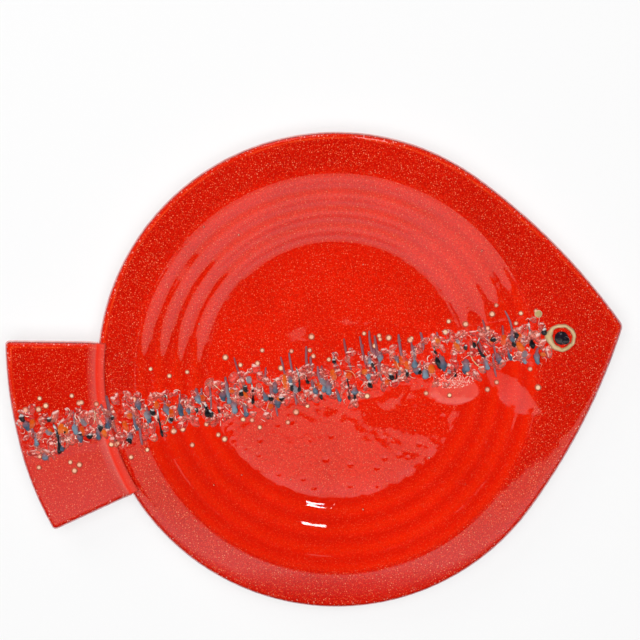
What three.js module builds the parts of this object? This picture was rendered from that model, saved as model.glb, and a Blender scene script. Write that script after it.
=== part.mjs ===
// A fish-shaped serving plate in kiln-fused glass. Millimetres, +Z up.
// Two sheets, a clear base and a red cover, are cut to a round body with a pointed nose and slumped
// together over a mould whose wall has terraces. A tail of two sheets laps over the body's rim and
// steps down behind it. Ribs, nuggets and dots of coloured glass are fused along the fish's spine,
// and a ring with a bead makes the eye.
// The origin is the centre of the flat foot under the well, and the nose points along +X.
import * as THREE from 'three';

// Well and rim of the body
const wellFloorRadius = 84.5;
const terraceCount = 4;
const terracePitch = 11.8;
const terraceRise = 3.2;
const terraceWave = 0.62; // 0 is a plain cone, 1 is level treads
const rimWidth = 23.3;
const rimSlope = 0.06;

// Nose
const noseLength = 32; // from the round body's edge to the tip
const noseShoulder = THREE.MathUtils.degToRad(45); // off the axis, where the nose leaves the round
const noseTipRadius = 6;

// Sheets
const baseThickness = 3;
const coverThickness = 3.2;
const coverEdgeRadius = 2.6; // fire-polished upper edge
const baseEdgeRadius = 1.2;
const seatGap = 0.3; // between a piece and the glass that carries it

// Tail
const tailLength = 56.5; // from the round body's edge to the tail's end, an arc round the same centre
const tailRootHalfWidth = 52.4; // at the round body's edge
const tailEndHalfWidth = 65.6; // at the middle of the tail's end
const tailLap = 4.5; // over the body's rim
const tailRamp = 7;
const tailDrop = 3.4;
const tailBaseThickness = 2.6;
const tailCoverThickness = 2.8;
const tailLapThinning = 0.6; // share of the thickness left where the lap has melted down
const tailCornerRadius = 2.4;
const tailTurn = THREE.MathUtils.degToRad(2.2); // the tail is laid a little off the fish's axis

// Spine of fused glass
const spineOffset = -5; // the spine runs this far to one side of the axis
const spineTurn = THREE.MathUtils.degToRad(1.5); // and a little off its direction
const spineWidth = 32;
const spineMargin = 8; // free glass at each end of the spine
const bodyRibCount = 18;
const tailRibCount = 3;
const ribShortest = 9;
const ribLongest = 21;
const ribHeadDiameter = 4.4;
const ribStickWidth = 1.9;
const ribHeight = 1.5;
const ribLean = 0.16; // most that a rib leans off square, in radians
const nuggetLength = 7;
const nuggetWidth = 5;
const nuggetHeight = 1.9;
const bodyDotCount = 12;
const tailDotCount = 4;
const dotDiameter = 3.4;
const dotHeight = 1.1;
const dotStandOff = 5.5; // from the spine's edge to the row of dots

// Eye
const eyeFromTip = 39.3; // from the nose tip to the eye's centre
const eyeRingDiameter = 18.4;
const eyeRingWidth = 3.6;
const eyeRingHeight = 1.5;
const eyeIrisDiameter = 8.4;
const eyeIrisHeight = 1.2;
const eyePupilDiameter = 5;
const eyePupilHeight = 1.5;
const eyePupilShift = 1.1;
const eyeDotDiameter = 5.2;
const eyeDotHeight = 1.1;
const eyeDotBack = 12; // from the eye's centre to the large dot beside it
const eyeDotAside = 18;

// Facets
const roundStep = THREE.MathUtils.degToRad(6);
const noseSteps = 6;
const tipSteps = 2;
const stepsPerTerrace = 4;
const edgeSteps = 3;
const rampSteps = 5;
const dropSegments = 10;

const wellRadius = wellFloorRadius + terraceCount * terracePitch;
const bodyRadius = wellRadius + rimWidth;
const coverBottom = baseThickness + seatGap;
const coverTop = coverBottom + coverThickness;

const finishes = {
  clear: { color: 0xe9dedb, roughness: 0.06, metalness: 0 },
  red: { color: 0xd91d08, roughness: 0.08, metalness: 0 },
  cream: { color: 0xe8cf9d, roughness: 0.3, metalness: 0 },
  ink: { color: 0x17141a, roughness: 0.08, metalness: 0 },
  violet: { color: 0x32202e, roughness: 0.1, metalness: 0 },
  blue: { color: 0x6f8da6, roughness: 0.1, metalness: 0 },
  orange: { color: 0xee6a12, roughness: 0.1, metalness: 0 },
};

// A sequence that looks uneven and is the same each time, from 0 to 1.
const uneven = (i) => (0.37 + i * 0.61803399) % 1;

// Height of slumped glass above the well's floor, at a radius from the body's centre.
function slump(radius, wave) {
  const climbed = THREE.MathUtils.clamp(radius - wellFloorRadius, 0, wellRadius - wellFloorRadius);
  const terraces = climbed / terracePitch;
  const ripple = (wave * Math.sin(2 * Math.PI * terraces)) / (2 * Math.PI);
  return terraceRise * (terraces - ripple) + rimSlope * Math.max(radius - wellRadius, 0);
}

const bodyTop = (x, y) => coverTop + slump(Math.hypot(x, y), terraceWave);

// The tail lies on the rim as far as the body's edge, and steps down just outside it.
// From 0 on the rim to 1 at the foot of the step:
const tailStep = (x, y) =>
  THREE.MathUtils.smoothstep((Math.hypot(x, y) - bodyRadius - seatGap) / tailRamp, 0, 1);
const tailSeat = coverTop + slump(bodyRadius, terraceWave) + seatGap;
const tailUnderside = (x, y) => tailSeat - tailDrop * tailStep(x, y);
const tailFull = (x, y) => THREE.MathUtils.lerp(tailLapThinning, 1, tailStep(x, y));
const tailBaseTop = (x, y) => tailUnderside(x, y) + tailBaseThickness * tailFull(x, y);
const tailCoverBottom = (x, y) => tailBaseTop(x, y) + seatGap;
const tailTop = (x, y) => tailCoverBottom(x, y) + tailCoverThickness * tailFull(x, y);

// The body seen from above, as a closed run of points anticlockwise from the nose tip.
// Each side of the nose is an arc tangent to the round body and to the tip.
function bodyOutline() {
  const inner = bodyRadius - noseTipRadius;
  const tipCentre = bodyRadius + noseLength - noseTipRadius;
  const swing = (tipCentre ** 2 - inner ** 2) / (2 * (inner - tipCentre * Math.cos(noseShoulder)));
  const cheek = (side) => ({
    x: -swing * Math.cos(noseShoulder),
    y: -side * swing * Math.sin(noseShoulder),
  });
  const upper = cheek(1);
  const lower = cheek(-1);
  const tipAngle = Math.atan2(-upper.y, tipCentre - upper.x);
  const roundSteps = Math.round((2 * Math.PI - 2 * noseShoulder) / roundStep);
  const arcs = [
    [tipCentre, 0, noseTipRadius, 0, tipAngle, tipSteps],
    [upper.x, upper.y, bodyRadius + swing, tipAngle, noseShoulder, noseSteps],
    [0, 0, bodyRadius, noseShoulder, 2 * Math.PI - noseShoulder, roundSteps],
    [lower.x, lower.y, bodyRadius + swing, -noseShoulder, -tipAngle, noseSteps],
    [tipCentre, 0, noseTipRadius, -tipAngle, 0, tipSteps],
  ];
  return arcs.flatMap(([x, y, radius, from, to, steps]) =>
    new THREE.ArcCurve(x, y, radius, from, to, to < from).getPoints(steps).slice(0, -1));
}

function solid(points, faces) {
  const geometry = new THREE.BufferGeometry().setFromPoints(points);
  geometry.setIndex(faces);
  geometry.computeVertexNormals();
  return geometry;
}

// A closed shell through rings of equal count, from a pole on top round the edge to a pole below.
function shellThrough(topPole, rings, bottomPole) {
  const count = rings[0].length;
  const points = [topPole, ...rings.flat(), bottomPole];
  const at = (ring, i) => 1 + ring * count + (i % count);
  const faces = [];
  for (let i = 0; i < count; i++) {
    faces.push(0, at(0, i), at(0, i + 1));
    for (let ring = 0; ring + 1 < rings.length; ring++) {
      faces.push(at(ring, i), at(ring + 1, i), at(ring + 1, i + 1));
      faces.push(at(ring, i), at(ring + 1, i + 1), at(ring, i + 1));
    }
    faces.push(at(rings.length - 1, i), points.length - 1, at(rings.length - 1, i + 1));
  }
  return solid(points, faces);
}

// A closed slab between two grids of rows, with walls all round.
function slabBetween(top, bottom) {
  const rows = top.length;
  const columns = top[0].length;
  const points = [...top.flat(), ...bottom.flat()];
  const upper = (r, c) => r * columns + c;
  const lower = (r, c) => rows * columns + upper(r, c);
  const faces = [];
  const quad = (a, b, c, d) => faces.push(a, b, c, a, c, d);
  for (let r = 0; r + 1 < rows; r++) {
    for (let c = 0; c + 1 < columns; c++) {
      quad(upper(r, c), upper(r, c + 1), upper(r + 1, c + 1), upper(r + 1, c));
      quad(lower(r, c), lower(r + 1, c), lower(r + 1, c + 1), lower(r, c + 1));
    }
    quad(upper(r, 0), upper(r + 1, 0), lower(r + 1, 0), lower(r, 0));
    quad(upper(r + 1, columns - 1), upper(r, columns - 1), lower(r, columns - 1), lower(r + 1, columns - 1));
  }
  for (let c = 0; c + 1 < columns; c++) {
    quad(upper(0, c + 1), upper(0, c), lower(0, c), lower(0, c + 1));
    quad(upper(rows - 1, c), upper(rows - 1, c + 1), lower(rows - 1, c + 1), lower(rows - 1, c));
  }
  return solid(points, faces);
}

// Body sheets

const outline = bodyOutline();

function bodyRing(radiusOf, heightOf) {
  return outline.map((point) => {
    const edge = point.length();
    const radius = radiusOf(edge);
    const spot = point.clone().multiplyScalar(radius / edge);
    return new THREE.Vector3(spot.x, spot.y, heightOf(radius));
  });
}

// Rings over the terraced face, from the well's floor to the edge, which is rounded over.
function terracedRings(level, edgeRadius, edgeSide) {
  const height = (radius) => level + slump(radius, terraceWave);
  const rings = [];
  for (let i = 0; i <= terraceCount * stepsPerTerrace; i++) {
    const radius = wellFloorRadius + (i * terracePitch) / stepsPerTerrace;
    rings.push(bodyRing(() => radius, height));
  }
  for (let i = 0; i <= edgeSteps; i++) {
    const turn = (i * Math.PI) / 2 / edgeSteps;
    const inset = edgeRadius * (1 - Math.sin(turn));
    const drop = edgeRadius * (1 - Math.cos(turn));
    rings.push(bodyRing((edge) => edge - inset, (radius) => height(radius) - edgeSide * drop));
  }
  return rings;
}

// Rings over the plain face where the two sheets meet, from the well's floor to the edge.
function meetingRings(level) {
  const height = (radius) => level + slump(radius, 0);
  return [
    bodyRing(() => wellFloorRadius, height),
    bodyRing(() => wellRadius, height),
    bodyRing((edge) => edge, height),
  ];
}

const pole = (z) => new THREE.Vector3(0, 0, z);

function coverSheet() {
  const edgeRadius = Math.min(coverEdgeRadius, coverThickness - seatGap);
  const rings = [...terracedRings(coverTop, edgeRadius, 1), ...meetingRings(coverBottom).reverse()];
  return shellThrough(pole(coverTop), rings, pole(coverBottom));
}

function baseSheet() {
  const edgeRadius = Math.min(baseEdgeRadius, baseThickness - seatGap);
  const rings = [...meetingRings(baseThickness), ...terracedRings(0, edgeRadius, -1).reverse()];
  return shellThrough(pole(baseThickness), rings, pole(0));
}

// Tail sheets, in a frame that the tail's own group turns

const tailReach = bodyRadius + tailLength;
const tailFlare = (tailEndHalfWidth - tailRootHalfWidth) / tailLength;
const tailSide = (reach) => tailRootHalfWidth + tailFlare * (reach - bodyRadius);

// Half the width of the tail where an arc round the body's centre meets its sides.
function tailHalfAcross(radius) {
  const start = tailRootHalfWidth - tailFlare * bodyRadius;
  const slope = 1 + tailFlare ** 2;
  const reach = (Math.sqrt(slope * radius ** 2 - start ** 2) - tailFlare * start) / slope;
  return tailSide(reach);
}

// Distance from the rim of the tail for the rows and columns that round its edge over.
const tailInsets = [0, 0.12, 0.5, 1].map((share) => share * tailCornerRadius);
const roundOver = (radius, inset) => radius - Math.sqrt(radius ** 2 - Math.max(radius - inset, 0) ** 2);

// Each row is an arc round the body's centre, with its half width and its distance from the tail's ends.
function tailRows() {
  const inner = bodyRadius - tailLap;
  const arcs = tailInsets.map((inset) => [inner + inset, inset]);
  for (let i = 0; i <= rampSteps; i++) {
    arcs.push([bodyRadius + seatGap + (i * tailRamp) / rampSteps, tailCornerRadius]);
  }
  [...tailInsets].reverse().forEach((inset) => arcs.push([tailReach - inset, inset, inset]));
  return arcs.map(([radius, inset, fromEnd = tailCornerRadius]) => ({
    radius,
    inset,
    half: tailHalfAcross(radius) - roundOver(tailCornerRadius, fromEnd),
  }));
}

function tailGrid(heightOf, edgeRadius) {
  return tailRows().map(({ radius, half, inset }) => {
    const across = [...tailInsets.map((gap) => [half - gap, gap]), [0.66 * half, half], [0.33 * half, half]];
    const columns = [...across.map(([y, gap]) => [-y, gap]), [0, half], ...across.reverse()];
    return columns.map(([y, gap]) => {
      const x = -Math.sqrt(radius ** 2 - y ** 2);
      const edge = Math.min(edgeRadius, tailCoverThickness * tailFull(x, y) - seatGap);
      return new THREE.Vector3(x, y, heightOf(x, y) - roundOver(edge, Math.min(gap, inset)));
    });
  });
}

const tailCoverSheet = () => slabBetween(tailGrid(tailTop, tailCornerRadius), tailGrid(tailCoverBottom, 0));
const tailBaseSheet = () => slabBetween(tailGrid(tailBaseTop, 0), tailGrid(tailUnderside, 0));

// Fused pieces, each made on a level bench and then laid on the glass below it

function lay(geometry, x, y, turn, surface) {
  geometry.rotateZ(turn).translate(x, y, 0);
  const place = geometry.getAttribute('position');
  for (let i = 0; i < place.count; i++) {
    place.setZ(i, place.getZ(i) + surface(place.getX(i), place.getY(i)) + seatGap);
  }
  geometry.computeVertexNormals();
  return geometry;
}

// A round piece from half its section, given as radius and height from the bench to the crown.
function turned(section) {
  const points = section.map(([radius, height]) => new THREE.Vector2(radius, height));
  return new THREE.LatheGeometry(points, dropSegments).rotateX(Math.PI / 2);
}

// A melted drop: a narrow foot, a full side and a low crown.
function drop(diameter, height) {
  const radius = diameter / 2;
  return turned([
    [0, 0], [0.45 * radius, 0], [0.9 * radius, 0], [radius, 0.3 * height],
    [0.82 * radius, 0.72 * height], [0.45 * radius, 0.95 * height], [0, height],
  ]);
}

const nugget = () => drop(nuggetWidth, nuggetHeight).scale(nuggetLength / nuggetWidth, 1, 1);

// A rib: a thin stick whose lower end has melted to a round head. Its length runs along Y from -length/2.
function rib(length) {
  const bevel = ribStickWidth / 4;
  const head = ribHeadDiameter / 2 - bevel;
  const stick = ribStickWidth / 2 - bevel;
  const neck = Math.acos(stick / head);
  const low = ribHeadDiameter / 2 - length / 2;
  const shape = new THREE.Shape();
  shape.absarc(0, low, head, neck, neck - 2 * Math.PI + 2 * (Math.PI / 2 - neck), true);
  shape.absarc(0, length / 2 - ribStickWidth / 2, stick, Math.PI, 0, true);
  const geometry = new THREE.ExtrudeGeometry(shape, {
    depth: ribHeight - 2 * bevel,
    bevelThickness: bevel,
    bevelSize: bevel,
    bevelSegments: 1,
    curveSegments: 5,
  });
  return geometry.translate(0, 0, bevel);
}

function ring(diameter, width, height) {
  const inner = diameter / 2 - width;
  const across = (share) => inner + share * width;
  const section = [
    [across(0.1), 0], [across(0.9), 0], [across(1), 0.4 * height],
    [across(0.7), height], [across(0.3), height], [across(0), 0.4 * height], [across(0.1), 0],
  ];
  const points = section.map(([radius, z]) => new THREE.Vector2(radius, z));
  return new THREE.LatheGeometry(points, 2 * dropSegments).rotateX(Math.PI / 2);
}

// Assembly

const plate = new THREE.Group();
const tail = new THREE.Group();
const spine = new THREE.Group();
tail.rotation.z = tailTurn;
spine.rotation.z = spineTurn;
plate.add(tail, spine);

function place(group, name, geometry, finish) {
  const mesh = new THREE.Mesh(geometry, new THREE.MeshStandardMaterial(finishes[finish]));
  mesh.name = name;
  group.add(mesh);
}

const tally = {};
function numbered(kind) {
  tally[kind] = (tally[kind] ?? 0) + 1;
  return `${kind}_${String(tally[kind]).padStart(2, '0')}`;
}

// Ribs stand across the spine at an even pitch, and nuggets lie between them.
function fuseRibs(group, surface, from, to, count, offset) {
  const pitch = (to - from) / count;
  for (let i = 0; i < count; i++) {
    const length = THREE.MathUtils.lerp(ribShortest, ribLongest, uneven(i));
    const shift = (spineWidth - length) * (uneven(i + 5) - 0.5);
    const room = (pitch - ribHeadDiameter - nuggetWidth) / 2 - seatGap;
    const lean = Math.min(ribLean, (2 * room) / length) * (2 * uneven(i + 9) - 1);
    const kind = i % 2 ? 'rib_black' : 'rib_blue';
    const x = from + (i + 0.5) * pitch;
    place(group, numbered(kind), lay(rib(length), x, offset + shift, lean, surface), i % 2 ? 'ink' : 'blue');
  }
}

function fuseNuggets(group, surface, from, to, ribCount, offset) {
  const pitch = (to - from) / ribCount;
  for (let gap = 1; gap < ribCount; gap++) {
    if (gap % 5 === 0 || gap % 5 === 4) continue;
    const shift = (spineWidth - nuggetLength) * (uneven(gap + 3) - 0.5);
    const orange = gap % 5 === 2;
    const kind = orange ? 'nugget_orange' : 'nugget_clear';
    const spot = lay(nugget(), from + gap * pitch, offset + shift, Math.PI / 2, surface);
    place(group, numbered(kind), spot, orange ? 'orange' : 'clear');
  }
}

// Dots keep to a row on each side of the spine.
function fuseDots(group, surface, from, to, count, offset) {
  for (let i = 0; i < count; i++) {
    const x = from + ((i + 0.5) * (to - from)) / count;
    const side = i % 2 ? 1 : -1;
    const y = offset + side * (spineWidth / 2 + dotStandOff * (0.7 + 0.6 * uneven(i)));
    place(group, numbered('dot_cream'), lay(drop(dotDiameter, dotHeight), x, y, 0, surface), 'cream');
  }
}

place(plate, 'base_sheet', baseSheet(), 'clear');
place(plate, 'cover_sheet', coverSheet(), 'red');
place(tail, 'tail_base_sheet', tailBaseSheet(), 'clear');
place(tail, 'tail_cover_sheet', tailCoverSheet(), 'red');

const eyeX = bodyRadius + noseLength - eyeFromTip;
const eyeRing = lay(ring(eyeRingDiameter, eyeRingWidth, eyeRingHeight), eyeX, spineOffset, 0, bodyTop);
const eyeIris = lay(drop(eyeIrisDiameter, eyeIrisHeight), eyeX, spineOffset, 0, bodyTop);
const irisTop = (x, y) => bodyTop(x, y) + seatGap + eyeIrisHeight;
const eyePupil = lay(
  drop(eyePupilDiameter, eyePupilHeight), eyeX + eyePupilShift, spineOffset - eyePupilShift, 0, irisTop);
const eyeDot = lay(
  drop(eyeDotDiameter, eyeDotHeight), eyeX - eyeDotBack, spineOffset + eyeDotAside, 0, bodyTop);
place(spine, 'eye_ring', eyeRing, 'cream');
place(spine, 'eye_iris', eyeIris, 'violet');
place(spine, 'eye_pupil', eyePupil, 'ink');
place(spine, 'eye_dot', eyeDot, 'cream');

const spineStart = -(bodyRadius - tailLap - spineMargin);
const spineEnd = eyeX - eyeRingDiameter / 2 - ribHeadDiameter / 2;
fuseRibs(spine, bodyTop, spineStart, spineEnd, bodyRibCount, spineOffset);
fuseNuggets(spine, bodyTop, spineStart, spineEnd, bodyRibCount, spineOffset);
fuseDots(spine, bodyTop, spineStart, spineEnd, bodyDotCount, spineOffset);

const tailStart = -(tailReach - spineMargin / 2);
const tailEnd = -(bodyRadius + tailRamp + spineMargin / 2);
fuseRibs(tail, tailTop, tailStart, tailEnd, tailRibCount, 0);
fuseNuggets(tail, tailTop, tailStart, tailEnd, tailRibCount, 0);
fuseDots(tail, tailTop, tailStart, tailEnd, tailDotCount, 0);

export default plate;
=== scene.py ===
import bpy
import numpy as np
from mathutils import Matrix, Vector


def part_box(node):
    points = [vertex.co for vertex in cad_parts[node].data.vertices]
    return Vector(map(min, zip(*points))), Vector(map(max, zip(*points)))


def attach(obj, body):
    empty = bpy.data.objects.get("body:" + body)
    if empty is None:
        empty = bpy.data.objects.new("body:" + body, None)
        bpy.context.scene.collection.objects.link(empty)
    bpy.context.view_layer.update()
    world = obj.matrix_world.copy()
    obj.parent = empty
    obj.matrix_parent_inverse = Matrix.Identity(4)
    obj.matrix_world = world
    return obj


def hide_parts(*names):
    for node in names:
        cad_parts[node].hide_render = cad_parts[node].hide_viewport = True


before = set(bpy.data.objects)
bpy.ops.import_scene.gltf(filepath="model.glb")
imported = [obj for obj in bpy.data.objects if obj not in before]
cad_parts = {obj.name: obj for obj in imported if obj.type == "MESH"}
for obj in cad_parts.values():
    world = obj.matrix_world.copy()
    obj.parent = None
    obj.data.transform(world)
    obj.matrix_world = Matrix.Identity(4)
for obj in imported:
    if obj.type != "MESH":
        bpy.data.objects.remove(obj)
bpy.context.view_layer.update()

mm = 0.001
chance = np.random.default_rng(27)
print("solids loaded:", len(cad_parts))


# Meshes from arrays of points

def gridQuads(rows, columns, first=0, wrap=False):
    # Quads of a grid numbered row by row. With wrap, the last column meets the first.
    row, column = np.meshgrid(np.arange(rows - 1), np.arange(columns - (not wrap)), indexing="ij")
    after = (column + 1) % columns
    quads = [row * columns + column, (row + 1) * columns + column,
             (row + 1) * columns + after, row * columns + after]
    return np.stack(quads, -1).reshape(-1, 4) + first


def circle(count):
    return 2 * np.pi * np.arange(count) / count


def tubeFaces(rings, count):
    # Quads between rings in order, and a fan at each end round a point. The two points follow the rings.
    here = np.arange(count)
    there = (here + 1) % count
    last = (rings - 1) * count
    headFan = np.stack([np.full(count, rings * count), here, there], -1)
    tipFan = np.stack([last + here, np.full(count, rings * count + 1), last + there], -1)
    return [gridQuads(rings, count, wrap=True), headFan, tipFan]


def newObject(name, points, faces, material):
    mesh = bpy.data.meshes.new(name)
    mesh.from_pydata(points, [], faces)
    mesh.materials.append(material)
    item = bpy.data.objects.new(name, mesh)
    bpy.context.scene.collection.objects.link(item)
    return item


def newPiece(name, points, faces, material, nodes=(), marks=None):
    # One closed mesh from points and arrays of faces, riding on the plate in place of the named solids.
    # A mark is one number for all points, or one for each.
    corners = [face for group in faces for face in group.tolist()]
    piece = newObject(name, points.reshape(-1, 3).tolist(), corners, material)
    mesh = piece.data
    mesh.polygons.foreach_set("use_smooth", np.ones(len(mesh.polygons), bool))
    for mark, values in (marks or {}).items():
        layer = mesh.attributes.new(mark, "FLOAT", "POINT")
        spread = np.broadcast_to(np.ravel(values), len(mesh.vertices))
        layer.data.foreach_set("value", spread.astype(np.float32))
    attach(piece, "root")
    if nodes:
        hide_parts(*nodes)
    print("made", name, "with", len(mesh.polygons), "faces")


def smoothStep(value):
    share = np.clip(value, 0, 1)
    return share * share * (3 - 2 * share)


# Material nodes

def newGlass(name, **sockets):
    # A glossy shader with the given socket values.
    material = bpy.data.materials.new(name)
    material.use_nodes = True
    shader = material.node_tree.nodes["Principled BSDF"]
    shader.inputs["Roughness"].default_value = 0.05
    shader.inputs["IOR"].default_value = 1.5
    for socket, value in sockets.items():
        shader.inputs[socket.replace("_", " ")].default_value = value
    return material, material.node_tree, shader


def add(tree, kind, **settings):
    node = tree.nodes.new("ShaderNode" + kind)
    for key, value in settings.items():
        setattr(node, key, value)
    return node


def feed(source, target):
    target.id_data.links.new(source, target)


def objectPlace(tree):
    return add(tree, "TexCoord").outputs["Object"]


def markOf(tree, name):
    return add(tree, "Attribute", attribute_name=name).outputs["Fac"]


def axesOf(place):
    split = add(place.id_data, "SeparateXYZ")
    feed(place, split.inputs["Vector"])
    return split.outputs


def noiseOf(place, scale, detail=2.0):
    noise = add(place.id_data, "TexNoise")
    noise.inputs["Scale"].default_value = scale
    noise.inputs["Detail"].default_value = detail
    feed(place, noise.inputs["Vector"])
    return noise.outputs["Fac"]


def spotsOf(place, scale, fade, chosen):
    # Round spots about scattered points. They fade with distance, and chance says how much of each is there.
    cells = add(place.id_data, "TexVoronoi")
    cells.inputs["Scale"].default_value = scale
    feed(place, cells.inputs["Vector"])
    split = add(place.id_data, "SeparateColor")
    feed(cells.outputs["Color"], split.inputs["Color"])
    return times(ranged(cells.outputs["Distance"], *fade), ranged(split.outputs["Red"], *chosen))


def ranged(value, low, high, toLow=0.0, toHigh=1.0):
    node = add(value.id_data, "MapRange", clamp=True)
    for socket, number in (("From Min", low), ("From Max", high), ("To Min", toLow), ("To Max", toHigh)):
        node.inputs[socket].default_value = number
    feed(value, node.inputs["Value"])
    return node.outputs["Result"]


def calc(operation, first, second):
    node = add(first.id_data, "Math", operation=operation)
    for socket, value in zip(node.inputs, (first, second)):
        if isinstance(value, (int, float)):
            socket.default_value = value
        else:
            feed(value, socket)
    return node.outputs["Value"]


def times(first, second):
    return calc("MULTIPLY", first, second)


def mixed(share, first, second):
    # A colour between two others, each given as a colour or as a socket.
    node = add(share.id_data, "Mix", data_type="RGBA")
    feed(share, node.inputs["Factor"])
    targets = [socket for socket in node.inputs if socket.type == "RGBA"]
    for target, value in zip(targets, (first, second)):
        if isinstance(value, tuple):
            target.default_value = (*value, 1)
        else:
            feed(value, target)
    return next(socket for socket in node.outputs if socket.type == "RGBA")


def bumped(shader, height, depth):
    bump = add(shader.id_data, "Bump")
    bump.inputs["Distance"].default_value = depth
    feed(height, bump.inputs["Height"])
    feed(bump.outputs["Normal"], shader.inputs["Normal"])


# Shape of the slumped plate

plate = {
    "wellFloor": 84.5 * mm, "terraces": 4, "pitch": 11.8 * mm, "rise": 3.2 * mm, "wave": 0.62,
    "rim": 23.3 * mm, "rimSlope": 0.06, "soft": 1.2 * mm, "sag": 1.6 * mm,
    "drift": 2.4 * mm, "driftAngle": np.radians(80.5),
    "waves": (0.55, 0.62, 0.45, 0.62, 0.53, 0.5, 0.57, 0.5, 0.62),  # ripple at each half terrace
    "waver": 0.12 * mm, "lowWaver": 0.5 * mm, "waverReach": 4 * mm,
    "stillAngle": np.radians(-106), "stillHalf": np.radians(13), "stillShare": 0.9,
    "calmAngle": np.radians(20), "calmHalf": np.radians(40), "calmFrom": -0.3, "calmShare": 0.8,
    "swells": (  # height and length in millimetres, and direction
        (0.04, 58, 0.3), (0.03, 44, 1.5), (0.02, 33, 2.6), (0.013, 24, 0.9), (0.007, 15, 2.1)),
    "rimSwell": 0.3, "swellBlend": 15 * mm, "brow": 0.36 * mm, "browWidth": 8 * mm,
    "noseLength": 32 * mm, "noseShoulder": np.radians(45), "noseTip": 6 * mm,
    "base": 3 * mm, "cover": 3.2 * mm, "gap": 0.3 * mm, "coverEdge": 2.6 * mm, "baseEdge": 1.2 * mm,
    "spread": 0.7 * mm, "crisp": 0.15 * mm, "angles": 480, "crowding": 0.7,
    # Rings of seen and of hidden faces
    "floorRings": (40, 6), "ringsPerTerrace": (14, 2), "rimRings": (14, 4), "edgeRings": (9, 2),
}
wellRadius = plate["wellFloor"] + plate["terraces"] * plate["pitch"]
bodyRadius = wellRadius + plate["rim"]
coverTop = plate["base"] + plate["gap"] + plate["cover"]


def apart(angle, other):
    # How far one direction is from another, from 0 to half a turn.
    return np.abs((angle - other + np.pi) % (2 * np.pi) - np.pi)


def wallSteps(radius, angle):
    # Terraces climbed at a point: none on the floor, and a whole number on each tread. The wall's middle
    # drifts to one side as the wall rises. Its foot wavers, least where it mirrors the lamp.
    out = radius - plate["wellFloor"]
    drift = plate["drift"] * np.cos(angle - plate["driftAngle"])
    waver = plate["waver"] + plate["lowWaver"] * smoothStep(-1.5 * np.sin(angle))  # more on the lower side
    still = np.exp(-(apart(angle, plate["stillAngle"]) / plate["stillHalf"]) ** 2)
    ripples = np.sin(29 * angle) * np.sin(5 * angle) + np.sin(53 * angle + 2)
    foot = waver * (1 - plate["stillShare"] * still) * ripples * np.exp(-(out / plate["waverReach"]) ** 2)
    out = out + drift * smoothStep(out / (wellRadius - plate["wellFloor"])) + foot
    climb = 0.5 * (out + np.sqrt(out ** 2 + plate["soft"] ** 2))  # the wall leaves the floor in a soft bend
    return np.minimum(climb / plate["pitch"], plate["terraces"]), out


mounds = (  # low pools of clear glass that ran out of the spine
    {"at": (73.5, -25.2), "turn": -10, "long": 17, "wide": (9.5, 9.5), "high": 0.6, "power": 5},
    {"at": (34, -23.5), "turn": 29, "long": 11, "wide": (5, 5), "high": 0.4, "power": 2},
    {"at": (116, -22.6), "turn": -69.5, "long": 26.6, "wide": (17.9, 7.5), "high": 2.4, "power": 1.3},
)


def moundHeight(x, y, mound):
    # One less a power of the distance from the middle, which counts for more across the pool than along it.
    turn = np.radians(mound["turn"])
    along, aside = turned(x - mound["at"][0] * mm, y - mound["at"][1] * mm, -turn)
    wide = np.where(aside < 0, *mound["wide"])
    far = np.hypot(along / mound["long"], aside / wide) / mm
    return mound["high"] * mm * np.maximum(1 - far ** mound["power"], 0)


def dripShare(x, y):
    # Height of the last pool as a share of its own full height.
    return moundHeight(x, y, mounds[-1]) / (mounds[-1]["high"] * mm)


def slump(radius, angle, wave):
    # Height above the well's floor: terraces up the wall, each a ramp less a sine ripple, then a sloped rim.
    # The ripple is weaker towards the nose, and goes where the last pool fills the steps.
    steps, out = wallSteps(radius, angle)
    near = smoothStep(2 - 2 * apart(angle, plate["calmAngle"]) / plate["calmHalf"])
    calm = plate["calmShare"] * near * smoothStep(steps - plate["calmFrom"])
    calm = np.maximum(calm, smoothStep(4 * dripShare(radius * np.cos(angle), radius * np.sin(angle))))
    halves = np.linspace(0, plate["terraces"], len(plate["waves"]))
    share = np.interp(steps, halves, plate["waves"]) / plate["wave"]
    ripple = wave * share * (1 - calm) * np.sin(2 * np.pi * steps) / (2 * np.pi)
    past = np.maximum(out - plate["terraces"] * plate["pitch"], 0)
    return plate["rise"] * (steps - ripple) + plate["rimSlope"] * past


def relief(x, y):
    # Slow swells of hand-made glass: crossing sine waves of a tenth of a millimetre or less, on a floor that
    # sags like a shallow bowl, with the pools on top.
    swell = 0
    for high, length, turn in plate["swells"]:
        across = x * np.cos(turn) + y * np.sin(turn)
        swell = swell + high * mm * np.sin(across * 2 * np.pi / (length * mm) + 5 * turn)
    inWell = smoothStep((wellRadius - np.hypot(x, y)) / plate["swellBlend"])
    swell = swell * (plate["rimSwell"] + (1 - plate["rimSwell"]) * inWell)
    bowl = plate["sag"] * np.maximum(1 - (x ** 2 + y ** 2) / plate["wellFloor"] ** 2, 0) ** 2
    return swell - bowl + sum(moundHeight(x, y, mound) for mound in mounds)


def turned(x, y, angle):
    return x * np.cos(angle) - y * np.sin(angle), x * np.sin(angle) + y * np.cos(angle)


def bodyTop(x, y):
    return coverTop + slump(np.hypot(x, y), np.arctan2(y, x), plate["wave"]) + relief(x, y)


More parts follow.
